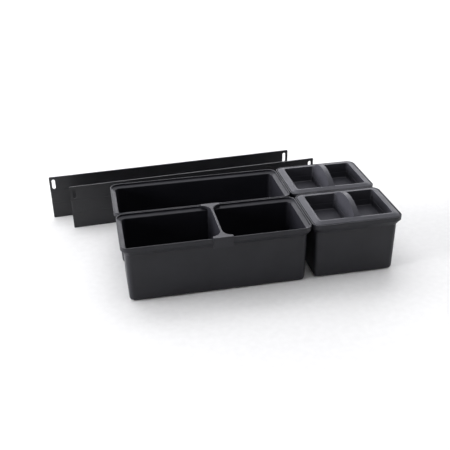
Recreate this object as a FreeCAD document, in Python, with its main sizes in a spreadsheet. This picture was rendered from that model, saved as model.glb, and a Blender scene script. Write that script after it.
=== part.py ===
import FreeCAD, Part
import math
import os
import re

import Sketcher
from FreeCAD import Rotation, Vector

# A drawer bin set: two large bins, two small bins with lids, one divider and two rails.
# Row frame: +X along the large bins, +Y to the back, +Z up.
# The origin is the centre of the front large bin's underside.
SIZES = {
    # Bins, all of one height and one width.
    "large_length": 480.0,
    "small_length": 240.0,
    "bin_width": 185.0,
    "bin_height": 161.0,
    "floor_thickness": 3.0,
    # The rim: an upright lip, a small step under it and a flare down to the wall.
    "lip_height": 12.0,
    "lip_thickness": 2.8,
    "lip_undercut": 1.0,
    "lip_radius": 22.0,
    "flare_drop": 27.0,
    # Insets from the lip's outer face.
    "wall_inset": 10.0,
    "base_inset": 12.0,
    "wall_radius": 15.0,
    "inner_inset": 13.5,
    "inner_base_inset": 14.6,
    "inner_radius": 11.0,
    # Depths of the lid seat below the rim, at the lip and at the inner wall.
    "seat_depth": 5.0,
    "seat_end_depth": 9.0,
    "base_fillet": 9.5,
    "inner_base_fillet": 7.0,
    "rim_fillet": 0.9,
    "seat_fillet": 2.0,
    # Where the bins stand.
    "row_gap": 2.5,
    "side_gap": 2.6,
    "large_rear_shift": -3.0,
    "small_front_shift": 4.0,
    "small_rear_shift": -3.1,
    "small_rear_gap": 2.0,
    # Lids. Heights count from the bin's rim.
    "lid_inset": 4.6,
    "lid_bottom": -5.3,
    "lid_rise": 4.0,
    "lid_crest_inset": 17.5,
    "lid_crest_radius": 8.0,
    "lid_edge_fillet": 1.2,
    "lid_wall": 2.3,
    "lid_hollow_inset": 7.2,
    "lid_hollow_top": 1.6,
    "lid_hollow_end_inset": 16.5,
    # The two finger wells in each lid. Slopes are sideways millimetres per millimetre of depth.
    "well_side_inset": 22.4,
    "well_end_inset": 21.6,
    "well_side_slope": 0.03,
    "well_end_slope": 0.19,
    "well_depth": 38.5,
    "well_step_depth": 22.0,
    "well_step": 1.2,
    "well_radius": 7.0,
    "well_floor_bevel": 2.0,
    # The arched grip between the wells.
    "grip_width": 12.6,
    "grip_slope": 0.07,
    "grip_rise": 24.6,
    "grip_half_span": 70.5,
    "grip_spare": 0.6,
    "grip_hollow_inset": 4.0,
    # How far the wells' shells start below the crest, and how far the wells reach above the grip.
    "shell_sink": 1.0,
    "well_spare": 1.0,
    # The divider, which hangs on the rims of the front large bin.
    "divider_shift": 10.8,
    "divider_web": 5.8,
    "divider_flange": 50.6,
    "divider_concave": 26.0,
    "divider_concave_start": 33.7,
    "divider_waist_reach": 60.0,
    "divider_rest": 0.3,
    "divider_plate": 2.5,
    "divider_hook": 1.8,
    "divider_hook_gap": 0.3,
    "divider_hook_drop": 26.0,
    "divider_skirt_inset": 3.3,
    "divider_skirt_drop": 4.4,
    "divider_end_inset": 16.2,
    "divider_floor_gap": 3.5,
    "divider_wall": 1.9,
    "divider_edge_fillet": 0.8,
    # The rails.
    "rail_length": 752.0,
    "rail_height": 134.0,
    "rail_thickness": 3.0,
    "rail_corner": 3.0,
    # Degrees by which the rails stand turned from the bins' rows.
    "rail_turn": 3.0,
    "band_end_margin": 1.5,
    "band_bottom": 50.0,
    "band_top": 91.0,
    "band_depth": 0.8,
    "band_slope": -45.0,
    "slot_width": 10.0,
    "slot_length": 31.0,
    "slot_end_margin": 7.0,
    "slot_top_margin": 8.0,
    "rail_rear_left": -417.8,
    "rail_rear_front": 429.6,
    "rail_front_left": -358.3,
    "rail_front_front": 347.7,
}
# How near a height counts as equal, in mm, and the least volume that a feature changes, in mm3.
CLOSE = 0.05
LEAST_CHANGE = 1.0

doc = FreeCAD.newDocument("DrawerBinSet")


def fill_sheet():
    """Writes the driving sizes into the spreadsheet, one alias to a row."""
    sheet = doc.addObject("Spreadsheet::Sheet", "Sizes")
    for row, (alias, value) in enumerate(SIZES.items(), start=1):
        sheet.set(f"A{row}", alias)
        sheet.set(f"B{row}", str(value))
        sheet.setAlias(f"B{row}", alias)
    doc.recompute()
    return sheet


sheet = fill_sheet()


def size(expression):
    """The present value in millimetres of an expression in the sheet's aliases."""
    value = sheet.evalExpression(expression)
    return float(getattr(value, "Value", value))


def in_sheet(expression):
    """The expression as another object writes it, with the sheet's name before each alias."""
    aliases = "|".join(sorted(SIZES, key=len, reverse=True))
    return re.sub(rf"\b({aliases})\b", r"Sizes.\1", expression)


def new_body(label, x="0", y="0", z="0"):
    """A body with its own label, placed in the row frame."""
    body = doc.addObject("PartDesign::Body", label)
    body.Label = label
    for axis, expression in (("x", x), ("y", y), ("z", z)):
        body.setExpression(f"Placement.Base.{axis}", in_sheet(expression))
    return body


def origin_plane(body, role):
    """The body's own origin plane with this role."""
    return next(item for item in body.Origin.OriginFeatures if item.Role == role)


def new_sketch(body, name, role="XY_Plane", offset="0", right="0", up="0"):
    """A sketch parallel to an origin plane: offset along its normal, moved right and up in itself."""
    sketch = body.newObject("Sketcher::SketchObject", name)
    sketch.AttachmentSupport = [(origin_plane(body, role), "")]
    sketch.MapMode = "FlatFace"
    for axis, expression in (("x", right), ("y", up), ("z", offset)):
        sketch.setExpression(f"AttachmentOffset.Base.{axis}", in_sheet(expression))
    return sketch


def bind(sketch, name, constraint, expression):
    """Adds a named dimension that follows the sheet."""
    index = sketch.addConstraint(Sketcher.Constraint(*constraint, size(expression)))
    sketch.renameConstraint(index, name)
    sketch.setExpression(f"Constraints.{name}", in_sheet(expression))


def add_line(sketch, start, end):
    """Adds a straight line between two points of the sketch."""
    return sketch.addGeometry(Part.LineSegment(Vector(*start, 0), Vector(*end, 0)), False)


def join(sketch, kind, pairs):
    """Constrains the end of the first of each pair to the start of the second."""
    for before, after in pairs:
        sketch.addConstraint(Sketcher.Constraint(kind, before, 2, after, 1))


def rectangle(sketch, length, width):
    """Adds a rectangle centred on the sketch's origin."""
    half_x = size(length) / 2
    half_y = size(width) / 2
    corners = [(-half_x, -half_y), (half_x, -half_y), (half_x, half_y), (-half_x, half_y)]
    for start, end in zip(corners, corners[1:] + corners[:1]):
        add_line(sketch, start, end)
    join(sketch, "Coincident", [(0, 1), (1, 2), (2, 3), (3, 0)])
    for line, kind in enumerate(("Horizontal", "Vertical", "Horizontal", "Vertical")):
        sketch.addConstraint(Sketcher.Constraint(kind, line))
    sketch.addConstraint(Sketcher.Constraint("Symmetric", 0, 1, 1, 2, -1, 1))
    bind(sketch, "length", ("DistanceX", 0, 1, 0, 2), length)
    bind(sketch, "width", ("DistanceY", 1, 1, 1, 2), width)


def obround(sketch, length, width):
    """Adds an upright slot with round ends, centred on the sketch's origin."""
    radius = size(width) / 2
    middle = size(length) / 2 - radius
    up = Vector(0, 0, 1)
    add_line(sketch, (radius, -middle), (radius, middle))
    top = Part.Circle(Vector(0, middle, 0), up, radius)
    sketch.addGeometry(Part.ArcOfCircle(top, 0, math.pi), False)
    add_line(sketch, (-radius, middle), (-radius, -middle))
    bottom = Part.Circle(Vector(0, -middle, 0), up, radius)
    sketch.addGeometry(Part.ArcOfCircle(bottom, math.pi, 2 * math.pi), False)
    join(sketch, "Tangent", [(0, 1), (1, 2), (2, 3), (3, 0)])
    sketch.addConstraint(Sketcher.Constraint("Vertical", 0))
    sketch.addConstraint(Sketcher.Constraint("Symmetric", 1, 3, 3, 3, -1, 1))
    bind(sketch, "radius", ("Radius", 1), f"{width} / 2")
    bind(sketch, "middles", ("DistanceY", 3, 3, 1, 3), f"{length} - {width}")


def rounded_rectangle(sketch, length, width, radius):
    """Adds a rectangle with round corners, centred on the sketch's origin."""
    half_x = size(length) / 2
    half_y = size(width) / 2
    corner = size(radius)
    side_x = half_x - corner
    side_y = half_y - corner
    lines = [
        ((-side_x, -half_y), (side_x, -half_y)),
        ((half_x, -side_y), (half_x, side_y)),
        ((side_x, half_y), (-side_x, half_y)),
        ((-half_x, side_y), (-half_x, -side_y)),
    ]
    centres = [(side_x, -side_y), (side_x, side_y), (-side_x, side_y), (-side_x, -side_y)]
    for turn, (line, centre) in enumerate(zip(lines, centres)):
        add_line(sketch, *line)
        circle = Part.Circle(Vector(*centre, 0), Vector(0, 0, 1), corner)
        start = (turn - 1) * math.pi / 2
        sketch.addGeometry(Part.ArcOfCircle(circle, start, start + math.pi / 2), False)
    join(sketch, "Tangent", [(step, (step + 1) % 8) for step in range(8)])
    for line, kind in ((0, "Horizontal"), (4, "Horizontal"), (2, "Vertical"), (6, "Vertical")):
        sketch.addConstraint(Sketcher.Constraint(kind, line))
    for arc in (3, 5, 7):
        sketch.addConstraint(Sketcher.Constraint("Equal", 1, arc))
    sketch.addConstraint(Sketcher.Constraint("Symmetric", 1, 3, 5, 3, -1, 1))
    bind(sketch, "length", ("DistanceX", 6, 1, 2, 1), length)
    bind(sketch, "width", ("DistanceY", 0, 1, 4, 1), width)
    bind(sketch, "radius", ("Radius", 1), radius)


def inset_section(body, name, length, inset, radius, height):
    """A bin or lid section: a rounded rectangle inset from the lip's outer face."""
    sketch = new_sketch(body, name, "XY_Plane", height)
    rounded_rectangle(sketch, f"{length} - 2 * {inset}", f"bin_width - 2 * {inset}", radius)
    return sketch


def volume_of(body):
    """The volume of the body's present tip."""
    doc.recompute()
    return body.Shape.Volume if body.Tip and not body.Shape.isNull() else 0.0


def finish_feature(body, feature, before, grows):
    """Makes the feature the tip and stops unless it changed the body the right way."""
    body.Tip = feature
    after = volume_of(body)
    change = after - before
    if grows is not None and (change <= LEAST_CHANGE if grows else change >= -LEAST_CHANGE):
        raise RuntimeError(f"{feature.Name} left the volume at {after:.0f} from {before:.0f}")
    return feature


def loft(body, name, sections, adds=True):
    """A straight loft through the sections that adds to the body or cuts it."""
    before = volume_of(body)
    kind = "PartDesign::AdditiveLoft" if adds else "PartDesign::SubtractiveLoft"
    feature = body.newObject(kind, name)
    feature.Profile = (sections[0], [""])
    feature.Sections = [(section, [""]) for section in sections[1:]]
    feature.Ruled = True
    return finish_feature(body, feature, before, adds)


def shape_extrusion(feature, sketch, length, midplane, taper):
    """Sets what pads and pockets share."""
    feature.Profile = sketch
    feature.setExpression("Length", in_sheet(length))
    feature.SideType = "Symmetric" if midplane else "One side"
    if taper:
        feature.setExpression("TaperAngle", in_sheet(taper))


def pad(body, name, sketch, length, backward=False, midplane=False, taper=None):
    """A pad whose length and taper follow the sheet."""
    before = volume_of(body)
    feature = body.newObject("PartDesign::Pad", name)
    feature.Reversed = backward
    shape_extrusion(feature, sketch, length, midplane, taper)
    return finish_feature(body, feature, before, True)


def pocket(body, name, sketch, length, backward=False, midplane=False, taper=None):
    """A pocket whose depth and taper follow the sheet."""
    before = volume_of(body)
    feature = body.newObject("PartDesign::Pocket", name)
    feature.Reversed = backward
    shape_extrusion(feature, sketch, length, midplane, taper)
    return finish_feature(body, feature, before, False)


def mirror(body, name, features, role, adds=True):
    """Mirrors features across one of the body's origin planes."""
    before = volume_of(body)
    feature = body.newObject("PartDesign::Mirrored", name)
    feature.Originals = features
    feature.MirrorPlane = (origin_plane(body, role), [""])
    return finish_feature(body, feature, before, adds)


def fillet(body, name, radius, wanted):
    """Rounds every edge of the body's tip that the test picks."""
    before = volume_of(body)
    base = body.Tip
    names = [f"Edge{count}" for count, edge in enumerate(base.Shape.Edges, start=1) if wanted(edge)]
    if not names:
        raise RuntimeError(f"{name} found no edge")
    feature = body.newObject("PartDesign::Fillet", name)
    feature.Base = (base, names)
    feature.setExpression("Radius", in_sheet(radius))
    return finish_feature(body, feature, before, None)


def level_at(height):
    """A test for edges that lie level at this height."""
    target = size(height)

    def wanted(edge):
        box = edge.BoundBox
        return abs(box.ZMin - target) < CLOSE and abs(box.ZMax - target) < CLOSE

    return wanted


def make_bin(label, length, x="0", y="0"):
    """One open bin: drafted walls, a flared rim, an upright lip and a seat for a lid."""
    body = new_body(label, x, y)
    base_radius = "wall_radius - base_inset + wall_inset"
    flare_foot = "bin_height - flare_drop"
    lip_foot = "bin_height - lip_height"
    wall_draft = f"atan((base_inset - wall_inset) / ({flare_foot}))"
    base = inset_section(body, "BaseSection", length, "base_inset", base_radius, "0")
    pad(body, "Wall", base, flare_foot, taper=wall_draft)
    wall = inset_section(body, "WallSection", length, "wall_inset", "wall_radius", flare_foot)
    flare_top = inset_section(
        body, "LipFootSection", length, "lip_undercut", "lip_radius - lip_undercut", lip_foot
    )
    loft(body, "Flare", [wall, flare_top])
    lip = inset_section(body, "LipSection", length, "0", "lip_radius", lip_foot)
    pad(body, "Lip", lip, "lip_height")
    cavity_depth = "(bin_height - seat_end_depth - floor_thickness)"
    cavity_draft = f"atan((inner_inset - inner_base_inset) / {cavity_depth})"
    seat_end = "bin_height - seat_end_depth"
    mouth = inset_section(body, "MouthSection", length, "inner_inset", "inner_radius", seat_end)
    pocket(body, "Cavity", mouth, cavity_depth, taper=cavity_draft)
    fillet(body, "FloorEdge", "inner_base_fillet", level_at("floor_thickness"))
    fillet(body, "BaseEdge", "base_fillet", level_at("0"))
    seat_radius = "lip_radius - lip_thickness"
    seat_start = "bin_height - seat_depth"
    seat = inset_section(body, "SeatSection", length, "lip_thickness", seat_radius, seat_start)
    loft(body, "SeatSlope", [mouth, seat], adds=False)
    pocket(body, "LipInside", seat, "seat_depth", backward=True)
    fillet(body, "SeatEdge", "seat_fillet", level_at(seat_end))
    fillet(body, "RimEdges", "rim_fillet", level_at("bin_height"))
    return body


def well_reach(height, shrink):
    """How far a finger well's near side, far side and ends lie from the lid's middle at this height."""
    drop = f"(lid_rise - ({height}))"
    near = f"(grip_width / 2 + grip_slope * (grip_rise + {drop}) + {shrink})"
    far = f"(small_length / 2 - well_side_inset - well_side_slope * {drop} - {shrink})"
    end = f"(bin_width / 2 - well_end_inset - well_end_slope * {drop} - {shrink})"
    return near, far, end


def well_section(body, name, height, shrink, radius):
    """One finger well in plan at this height, made smaller all round by the shrink."""
    near, far, end = well_reach(height, shrink)
    sketch = new_sketch(body, name, "XY_Plane", height, right=f"({near} + {far}) / 2")
    rounded_rectangle(sketch, f"{far} - {near}", f"2 * {end}", radius)
    return sketch


def wells(body, name, adds, top, wall="0"):
    """Both finger wells, or their shells: an upper and a lower stage, then a bevel down to the floor."""
    step = "0 - well_step_depth"
    floor = f"0 - well_depth - {wall}"
    bevel_top = f"{floor} + well_floor_bevel"
    upper = f"(0 - {wall})"
    lower = f"(well_step - {wall})"
    bottom = f"(well_step + well_floor_bevel - {wall})"
    levels = [
        ("Upper", (top, upper), (step, upper)),
        ("Lower", (step, lower), (bevel_top, lower)),
        ("Floor", (bevel_top, lower), (floor, bottom)),
    ]
    radius = f"well_radius + {wall}"
    stages = []
    for stage, high, low in levels:
        sections = [
            well_section(body, f"{name}{stage}{place}", *level, radius)
            for place, level in (("Head", high), ("Foot", low))
        ]
        stages.append(loft(body, f"{name}{stage}", sections, adds))
    mirror(body, f"{name}Pair", stages, "YZ_Plane", adds)


def arch(body, name, foot, half_span, rise):
    """The grip from the side: an arc that springs from the lid's crest, with a straight foot below."""
    sketch = new_sketch(body, name, "YZ_Plane")
    low = size(foot)
    side = size(half_span)
    spring = size("lid_rise")
    top = size(f"lid_rise + {rise}")
    crown = Part.Arc(Vector(side, spring, 0), Vector(0, top, 0), Vector(-side, spring, 0))
    add_line(sketch, (-side, spring), (-side, low))
    add_line(sketch, (-side, low), (side, low))
    add_line(sketch, (side, low), (side, spring))
    sketch.addGeometry(crown, False)
    join(sketch, "Coincident", [(0, 1), (1, 2), (2, 3), (3, 0)])
    sketch.addConstraint(Sketcher.Constraint("Vertical", 0))
    sketch.addConstraint(Sketcher.Constraint("Vertical", 2))
    sketch.addConstraint(Sketcher.Constraint("Symmetric", 1, 1, 1, 2, -2))
    sketch.addConstraint(Sketcher.Constraint("PointOnObject", 3, 3, -2))
    bind(sketch, "chord", ("DistanceX", 1, 1, 1, 2), f"2 * {half_span}")
    bind(sketch, "leg", ("DistanceY", 2, 1, 2, 2), f"lid_rise - ({foot})")
    bind(sketch, "spring", ("DistanceY", -1, 1, 2, 2), "lid_rise")
    radius = f"({half_span} * {half_span} + {rise} * {rise}) / (2 * {rise})"
    bind(sketch, "arch_radius", ("Radius", 3), radius)
    return sketch


def make_lid(label, x, y):
    """One lid: a sloping border, two deep finger wells and an arched grip between them."""
    body = new_body(label, x, y, "bin_height")
    edge_radius = "lip_radius - lid_inset"
    edge = inset_section(body, "EdgeSection", "small_length", "lid_inset", edge_radius, "lid_bottom")
    pad(body, "Plate", edge, "0 - lid_bottom")
    brow = inset_section(body, "BrowSection", "small_length", "lid_inset", edge_radius, "0")
    crest = inset_section(
        body, "CrestSection", "small_length", "lid_crest_inset", "lid_crest_radius", "lid_rise"
    )
    loft(body, "Border", [brow, crest])
    fillet(body, "PlateEdge", "lid_edge_fillet", level_at("0"))
    hollow_radius = "lip_radius - lid_hollow_inset"
    hollow_foot = inset_section(
        body, "HollowFoot", "small_length", "lid_hollow_inset", hollow_radius, "lid_bottom"
    )
    hollow_top = inset_section(
        body, "HollowTop", "small_length", "lid_hollow_end_inset", "lid_crest_radius", "lid_hollow_top"
    )
    loft(body, "Underside", [hollow_foot, hollow_top], adds=False)
    grip_foot = "grip_width + 2 * (grip_slope * grip_rise + well_radius) + grip_spare"
    side = arch(body, "GripSide", "lid_hollow_top", "grip_half_span", "grip_rise")
    pad(body, "Grip", side, grip_foot, midplane=True)
    wells(body, "Shell", True, "lid_rise - shell_sink", "lid_wall")
    wells(body, "Well", False, "lid_rise + grip_rise + well_spare")
    hollow_span = "(grip_half_span - grip_hollow_inset)"
    hollow = arch(body, "GripHollowSide", "lid_bottom", hollow_span, "(grip_rise - 2 * lid_wall)")
    pocket(body, "GripHollow", hollow, "grip_width - 2 * lid_wall", midplane=True)
    return body


def waist(body, name, top, depth):
    """Cuts both sides of the divider to its web, with a concave curve into each flange."""
    reach = "divider_waist_reach"
    sketch = new_sketch(body, f"{name}Sketch", "XY_Plane", top, right=f"(divider_web + {reach}) / 2")
    width = "bin_width - 2 * (divider_concave_start - divider_concave)"
    rounded_rectangle(sketch, reach, width, "divider_concave")
    right = pocket(body, f"{name}Right", sketch, depth)
    mirror(body, f"{name}Left", [right], "YZ_Plane", adds=False)


def make_divider():
    """The divider: a hollow web that broadens to the bin's walls, under a plate with two hooks."""
    body = new_body("divider", "divider_shift", "0", "bin_height")
    core_depth = "(bin_height - floor_thickness - divider_floor_gap)"
    core = new_sketch(body, "CoreSection", "XY_Plane", "divider_rest")
    rectangle(core, "divider_flange", "bin_width - 2 * divider_end_inset")
    pad(body, "Core", core, core_depth, backward=True)
    waist(body, "CoreWaist", "divider_rest", core_depth)
    hollow = new_sketch(body, "HollowSection", "XY_Plane", f"divider_rest - {core_depth}")
    hollow_length = "bin_width - 2 * (divider_end_inset + divider_wall)"
    rectangle(hollow, "divider_web - 2 * divider_wall", hollow_length)
    pocket(body, "CoreHollow", hollow, f"{core_depth} - divider_wall", backward=True)
    skirt = new_sketch(body, "SkirtSection", "XY_Plane", "divider_rest")
    rectangle(skirt, "divider_flange", "bin_width - 2 * divider_skirt_inset")
    pad(body, "Skirt", skirt, "divider_rest + divider_skirt_drop", backward=True)
    plate = new_sketch(body, "PlateSection", "XY_Plane", "divider_rest")
    rectangle(plate, "divider_flange", "bin_width + 2 * (divider_hook_gap + divider_hook)")
    pad(body, "Plate", plate, "divider_plate")
    hook_middle = "bin_width / 2 + divider_hook_gap + divider_hook / 2"
    hook_sketch = new_sketch(body, "HookSection", "XY_Plane", "divider_rest", up=hook_middle)
    rectangle(hook_sketch, "divider_flange", "divider_hook")
    hook = pad(body, "HookRear", hook_sketch, "divider_rest + divider_hook_drop", backward=True)
    mirror(body, "HookFront", [hook], "XZ_Plane")
    plate_depth = "divider_plate + divider_rest + divider_skirt_drop"
    waist(body, "PlateWaist", "divider_rest + divider_plate", plate_depth)
    fillet(body, "PlateEdges", "divider_edge_fillet", level_at("divider_rest + divider_plate"))
    return body


def make_rail(label, left, front):
    """One rail: a flat strip with a raised middle band and an upright slot near each end."""
    body = new_body(label, left, front)
    body.Placement.Rotation = Rotation(Vector(0, 0, 1), size("rail_turn"))
    body.setExpression("Placement.Rotation.Angle", in_sheet("rail_turn * 1 deg"))
    strip = new_sketch(body, "StripFace", "XZ_Plane", right="rail_length / 2", up="rail_height / 2")
    rounded_rectangle(strip, "rail_length", "rail_height", "rail_corner")
    pad(body, "Strip", strip, "rail_thickness", backward=True)
    band_middle = "(band_bottom + band_top) / 2"
    for name, depth, change in (("BandFront", "0", pad), ("BandBack", "0 - rail_thickness", pocket)):
        band = new_sketch(body, name, "XZ_Plane", depth, right="rail_length / 2", up=band_middle)
        rectangle(band, "rail_length - 2 * band_end_margin", "band_top - band_bottom")
        change(body, f"{name}Step", band, "band_depth", name == "BandBack", taper="band_slope * 1 deg")
    slot_up = "rail_height - slot_top_margin - slot_length / 2"
    for name, end in (("SlotLeft", "slot_end_margin + slot_width / 2"),
                      ("SlotRight", "rail_length - slot_end_margin - slot_width / 2")):
        face = new_sketch(body, f"{name}Face", "XZ_Plane", right=end, up=slot_up)
        obround(face, "slot_length", "slot_width")
        pocket(body, name, face, "rail_thickness")
    return body


def make_set():
    """All the pieces, in their places."""
    bin_step = "bin_width + row_gap"
    small_x = "large_length / 2 + small_length / 2 + side_gap"
    large_front = make_bin("large_bin_front", "large_length")
    large_rear = make_bin("large_bin_rear", "large_length", "large_rear_shift", bin_step)
    small_places = {
        "front": (small_x, "small_front_shift"),
        "rear": (f"{small_x} + small_rear_shift", "small_front_shift + bin_width + small_rear_gap"),
    }
    pieces = [large_front, large_rear]
    for side, place in small_places.items():
        pieces.append(make_bin(f"small_bin_{side}", "small_length", *place))
        pieces.append(make_lid(f"lid_{side}", *place))
    pieces.append(make_divider())
    pieces.append(make_rail("rail_front", "rail_front_left", "rail_front_front"))
    pieces.append(make_rail("rail_rear", "rail_rear_left", "rail_rear_front"))
    return pieces


def check_document():
    """Stops if any object of the document has failed."""
    for item in doc.Objects:
        if "Invalid" in item.State or "Error" in item.State:
            raise RuntimeError(f"{item.Label} failed: {item.State}")


def write_pieces(pieces):
    """Writes every piece to its own file once all of them are sound."""
    for piece in pieces:
        if piece.Shape.isNull() or not piece.Shape.isValid() or len(piece.Shape.Solids) != 1:
            raise RuntimeError(f"{piece.Label} is not one valid solid")
    os.makedirs("parts", exist_ok=True)
    for piece in pieces:
        piece.Shape.exportStep(f"parts/{piece.Label}.step")


pieces = make_set()
doc.recompute()
check_document()
write_pieces(pieces)
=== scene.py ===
import math

import bpy
from mathutils import Matrix, Vector


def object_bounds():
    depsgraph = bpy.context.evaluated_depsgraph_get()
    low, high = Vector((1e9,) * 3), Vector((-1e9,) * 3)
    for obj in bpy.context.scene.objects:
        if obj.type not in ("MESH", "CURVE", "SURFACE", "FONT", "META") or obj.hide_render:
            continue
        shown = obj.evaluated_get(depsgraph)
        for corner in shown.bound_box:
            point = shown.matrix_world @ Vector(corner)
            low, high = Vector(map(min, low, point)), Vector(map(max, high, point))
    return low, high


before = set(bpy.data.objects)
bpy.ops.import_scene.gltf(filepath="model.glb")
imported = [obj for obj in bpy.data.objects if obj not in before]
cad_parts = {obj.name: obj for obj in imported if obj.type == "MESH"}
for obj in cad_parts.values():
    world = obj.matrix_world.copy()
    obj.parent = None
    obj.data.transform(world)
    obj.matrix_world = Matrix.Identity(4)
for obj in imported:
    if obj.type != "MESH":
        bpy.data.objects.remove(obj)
cad_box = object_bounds()

# The camera, in the row frame: place in metres, angles in degrees, lens and sensor in millimetres.
CAMERA_PLACE = Vector((-0.2732, -1.5694, 1.0131))
CAMERA_YAW = 11.031
CAMERA_PITCH = -28.490
CAMERA_ROLL = -0.988
CAMERA_LENS = 56.77
SENSOR_WIDTH = 36.0

# The softboxes: place, width and height in metres, and radiance. Each faces the set's middle.
SOFTBOXES = {
    "back low": ((1.4, 10.2, 3.6), (16.0, 3.0), 4.9),
    "back middle": ((0.7, 9.5, 6.6), (16.0, 3.2), 1.3),
    "back high": ((0.0, 7.2, 10.8), (15.0, 6.0), 2.4),
    "left": ((-7.5, 0.2, 1.9), (6.0, 3.5), 14.0),
    "left back": ((-7.5, 6.2, 3.8), (5.0, 4.0), 3.3),
    "right": ((7.9, 0.7, 2.3), (4.5, 3.5), 6.5),
    "top": ((0.4, -0.2, 7.8), (7.5, 7.5), 1.5),
}
LIGHT_COLOUR = (0.95, 0.95, 1.0)

# The world is pale at the horizon and fades to a dim sky. The horizon's edge is the sine of an elevation.
HORIZON_TONE = 0.75
SKY_TONE = 0.03
HORIZON_EDGE = 0.14

# The floor's width, and how far it lies under the set, in metres.
FLOOR_SIZE = 18.0
FLOOR_DROP = 0.0002

# Pairs are the two colours or the two roughnesses that a surface varies between.
BIN_COLOURS = (0.0115, 0.0115, 0.0150), (0.0170, 0.0170, 0.0220)
LID_COLOURS = (0.038, 0.038, 0.045), (0.052, 0.052, 0.061)
DIVIDER_COLOURS = (0.0130, 0.0130, 0.0170), (0.0195, 0.0195, 0.0250)
COAT_COLOURS = (0.012, 0.012, 0.014), (0.018, 0.018, 0.021)
PAPER_COLOURS = (0.865, 0.865, 0.835), (0.905, 0.905, 0.875)
BIN_ROUGHNESS = 0.39, 0.50
LID_ROUGHNESS = 0.41, 0.52
COAT_ROUGHNESS = 0.42, 0.56
PAPER_ROUGHNESS = 0.9
PAPER_SPECULAR = 0.2
PLASTIC_IOR = 1.38
COAT_IOR = 1.48


def make_camera():
    """The camera, built from its yaw, pitch and roll."""
    yaw, pitch, roll = (math.radians(angle) for angle in (CAMERA_YAW, CAMERA_PITCH, CAMERA_ROLL))
    ahead = Vector((math.sin(yaw) * math.cos(pitch), math.cos(yaw) * math.cos(pitch), math.sin(pitch)))
    level = Vector((math.cos(yaw), -math.sin(yaw), 0))
    above = level.cross(ahead)
    right = level * math.cos(roll) + above * math.sin(roll)
    up = above * math.cos(roll) - level * math.sin(roll)
    camera = bpy.data.objects.new("camera", bpy.data.cameras.new("camera"))
    bpy.context.collection.objects.link(camera)
    turn = Matrix((right, up, -ahead)).transposed().to_4x4()
    camera.matrix_world = Matrix.Translation(CAMERA_PLACE) @ turn
    camera.data.sensor_width = SENSOR_WIDTH
    camera.data.lens = CAMERA_LENS
    bpy.context.scene.camera = camera


def make_lights():
    """Softboxes round the set."""
    middle = (cad_box[0] + cad_box[1]) / 2
    for name, (place, (width, height), radiance) in SOFTBOXES.items():
        light = bpy.data.lights.new(name, "AREA")
        light.shape = "RECTANGLE"
        light.size = width
        light.size_y = height
        light.energy = radiance * math.pi * width * height
        light.color = LIGHT_COLOUR
        lamp = bpy.data.objects.new(name, light)
        bpy.context.collection.objects.link(lamp)
        lamp.location = place
        lamp.rotation_euler = (middle - Vector(place)).to_track_quat("-Z", "Y").to_euler()


def node_maker(tree):
    """A function that adds nodes to a tree."""

    def node(kind, links=(), **settings):
        """Adds a node. Links are (input, source node, source output) and settings are its own values."""
        made = tree.nodes.new(kind)
        for key, value in settings.items():
            if key in made.inputs:
                made.inputs[key].default_value = value
            else:
                setattr(made, key, value)
        for socket, source, output in links:
            tree.links.new(source.outputs[output], made.inputs[socket])
        return made

    return node


def span(node, source, output, taken, given):
    """Stretches the values between a taken pair over a given pair."""
    made = node("ShaderNodeMapRange", [("Value", source, output)])
    for socket, value in zip(("From Min", "From Max", "To Min", "To Max"), (*taken, *given)):
        made.inputs[socket].default_value = value
    return made


def blend(node, source, ends, colours):
    """Runs from one colour to the other between the two ends of a source's Fac."""
    made = node("ShaderNodeValToRGB", [("Fac", source, "Fac")])
    for element, position, colour in zip(made.color_ramp.elements, ends, colours):
        element.position = position
        element.color = (*colour, 1)
    return made


def make_world():
    """A pale horizon under a dim sky."""
    world = bpy.data.worlds.new("studio")
    world.use_nodes = True
    tree = world.node_tree
    node = node_maker(tree)
    axes = node("ShaderNodeSeparateXYZ", [("Vector", node("ShaderNodeTexCoord"), "Generated")])
    fade = span(node, axes, "Z", (0.0, HORIZON_EDGE), (HORIZON_TONE, SKY_TONE))
    tree.links.new(fade.outputs["Result"], tree.nodes["Background"].inputs["Color"])
    bpy.context.scene.world = world


def new_material(name):
    """A node material with its shader, a function that adds nodes and one that links them to the shader."""
    material = bpy.data.materials.new(name)
    material.use_nodes = True
    tree = material.node_tree
    shader = tree.nodes["Principled BSDF"]

    def link(source, output, socket):
        tree.links.new(source.outputs[output], shader.inputs[socket])

    return material, shader, node_maker(tree), link


def moulded_plastic(name, colours, roughness):
    """Dark moulded plastic: a spark-eroded grain, faint flow clouding and a few dull rubbed patches."""
    material, shader, node, link = new_material(name)
    place = node("ShaderNodeTexCoord")
    clouds = node("ShaderNodeTexNoise", [("Vector", place, "Object")], Scale=14.0, Detail=6.0, Roughness=0.6)
    link(blend(node, clouds, (0.3, 0.72), colours), "Color", "Base Color")
    rubs = node("ShaderNodeTexNoise", [("Vector", place, "Object")], Scale=46.0, Detail=8.0, Roughness=0.7)
    link(span(node, rubs, "Fac", (0.25, 0.75), roughness), "Result", "Roughness")
    pits = node("ShaderNodeTexVoronoi", [("Vector", place, "Object")], Scale=1900.0)
    fine = node("ShaderNodeTexNoise", [("Vector", place, "Object")], Scale=900.0, Detail=3.0)
    both = node("ShaderNodeMath", [(0, pits, "Distance"), (1, fine, "Fac")], operation="ADD")
    grain = node("ShaderNodeBump", [("Height", both, "Value")], Strength=0.35, Distance=0.00012)
    waves = node("ShaderNodeTexNoise", [("Vector", place, "Object")], Scale=9.0, Detail=2.0)
    waves_on_grain = [("Height", waves, "Fac"), ("Normal", grain, "Normal")]
    sink = node("ShaderNodeBump", waves_on_grain, Strength=0.25, Distance=0.0016)
    link(sink, "Normal", "Normal")
    shader.inputs["IOR"].default_value = PLASTIC_IOR
    return material


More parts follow.
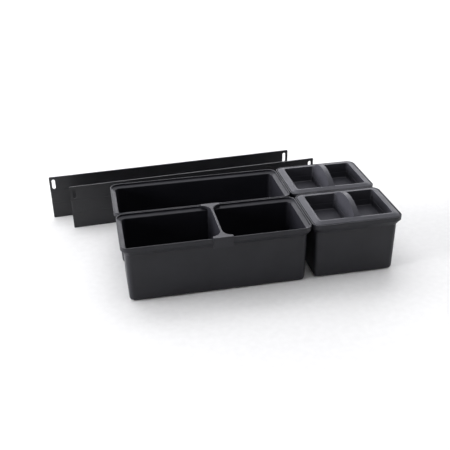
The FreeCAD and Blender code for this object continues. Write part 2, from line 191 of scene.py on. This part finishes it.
def coated_metal(name, colours, roughness):
    """Black powder coat: an orange-peel surface with faint mottling."""
    material, shader, node, link = new_material(name)
    place = node("ShaderNodeTexCoord")
    mottle = node("ShaderNodeTexNoise", [("Vector", place, "Object")], Scale=22.0, Detail=5.0, Roughness=0.65)
    link(blend(node, mottle, (0.3, 0.75), colours), "Color", "Base Color")
    link(span(node, mottle, "Fac", (0.0, 1.0), roughness), "Result", "Roughness")
    peel = node("ShaderNodeTexNoise", [("Vector", place, "Object")], Scale=620.0, Detail=2.0)
    bump = node("ShaderNodeBump", [("Height", peel, "Fac")], Strength=0.35, Distance=0.0003)
    link(bump, "Normal", "Normal")
    shader.inputs["IOR"].default_value = COAT_IOR
    return material


def floor_paper(name):
    """Pale dull paper with faint fibres."""
    material, shader, node, link = new_material(name)
    place = node("ShaderNodeTexCoord")
    fibres = node("ShaderNodeTexNoise", [("Vector", place, "Object")], Scale=60.0, Detail=4.0)
    link(blend(node, fibres, (0.3, 0.7), PAPER_COLOURS), "Color", "Base Color")
    shader.inputs["Roughness"].default_value = PAPER_ROUGHNESS
    shader.inputs["Specular IOR Level"].default_value = PAPER_SPECULAR
    return material


def make_floor():
    """A wide pale floor that the set stands on."""
    bpy.ops.mesh.primitive_plane_add(size=FLOOR_SIZE, location=(0, 0, -FLOOR_DROP))
    floor = bpy.context.object
    floor.name = "floor"
    floor.data.materials.append(floor_paper("floor_paper"))


def dress_nodes():
    """Gives every CAD node its material, by the first word of its name."""
    bins = moulded_plastic("bin_plastic", BIN_COLOURS, BIN_ROUGHNESS)
    lids = moulded_plastic("lid_plastic", LID_COLOURS, LID_ROUGHNESS)
    divider = moulded_plastic("divider_plastic", DIVIDER_COLOURS, BIN_ROUGHNESS)
    metal = coated_metal("rail_coat", COAT_COLOURS, COAT_ROUGHNESS)
    finishes = {"large": bins, "small": bins, "lid": lids, "divider": divider, "rail": metal}
    for name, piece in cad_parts.items():
        finish = finishes[name.split("_")[0]]
        for slot in piece.material_slots:
            slot.material = finish


# The plain view transform: the default one can't show near-black plastic on a white ground.
bpy.context.scene.view_settings.view_transform = "Standard"
make_camera()
make_lights()
make_world()
make_floor()
dress_nodes()
